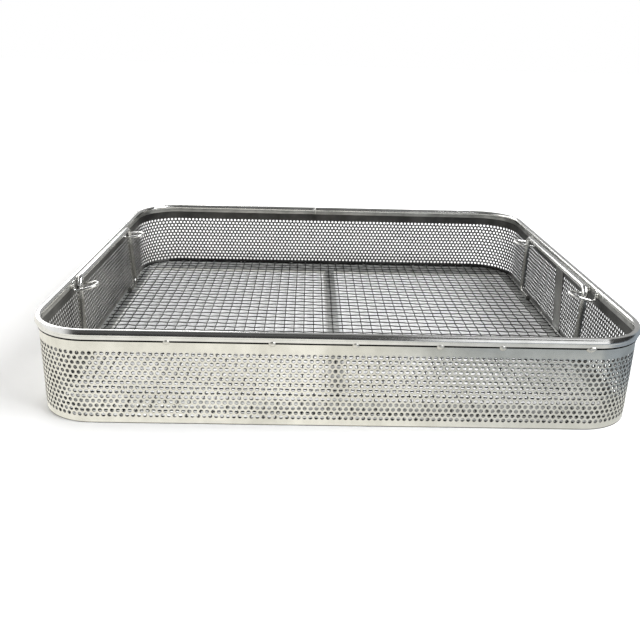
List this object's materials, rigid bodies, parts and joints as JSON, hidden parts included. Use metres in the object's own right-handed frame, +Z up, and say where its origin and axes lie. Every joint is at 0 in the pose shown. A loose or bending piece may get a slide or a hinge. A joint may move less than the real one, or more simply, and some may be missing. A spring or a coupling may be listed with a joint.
{
  "type": "autoclave basket",
  "caption": "Low rectangular sterilising basket with perforated steel walls, rounded corners, a rolled wire rim, a mesh floor and drop handles that slide up.",
  "frame": {"origin": "on the surface the basket stands on, under the middle of its bounding box", "axes": "+X along the length towards the right handle, +Y along the width towards the back wall, +Z up"},
  "size_m": [0.5268, 0.4819, 0.0851],
  "materials": {
    "perforated_sheet": "bright rolled and perforated stainless sheet",
    "polished_rim": "polished stainless strip",
    "bright_rod": "electropolished stainless rod",
    "mesh_wire": "drawn stainless wire",
    "floor_strip": "flat stainless strip",
    "weld": "dressed weld metal"
  },
  "bodies": {
    "basket": {"perforated_wall": "perforated_sheet", "rim_cap": "polished_rim", "rim_wire": "mesh_wire", "rim_joint_weld": "weld", "rim_tack_welds": "weld", "floor_ring": "floor_strip", "front_edge_strip": "floor_strip", "rear_edge_strip": "floor_strip", "centre_strap": "floor_strip", "floor_weld_beads": "weld", "crosswise_wires": "mesh_wire", "lengthwise_wires": "mesh_wire", "left_front_eye": "bright_rod", "left_rear_eye": "bright_rod", "right_front_eye": "bright_rod", "right_rear_eye": "bright_rod", "left_eye_welds": "weld", "right_eye_welds": "weld"},
    "left_handle": {"left_handle": "bright_rod"},
    "right_handle": {"right_handle": "bright_rod"}
  },
  "joints": [
    {"name": "left_handle_slide", "type": "slide", "parent": "basket", "child": "left_handle", "axis": [0, 0, 1], "range_m": [0, 0.0575]},
    {"name": "right_handle_slide", "type": "slide", "parent": "basket", "child": "right_handle", "axis": [0, 0, 1], "range_m": [0, 0.0575]}
  ]
}
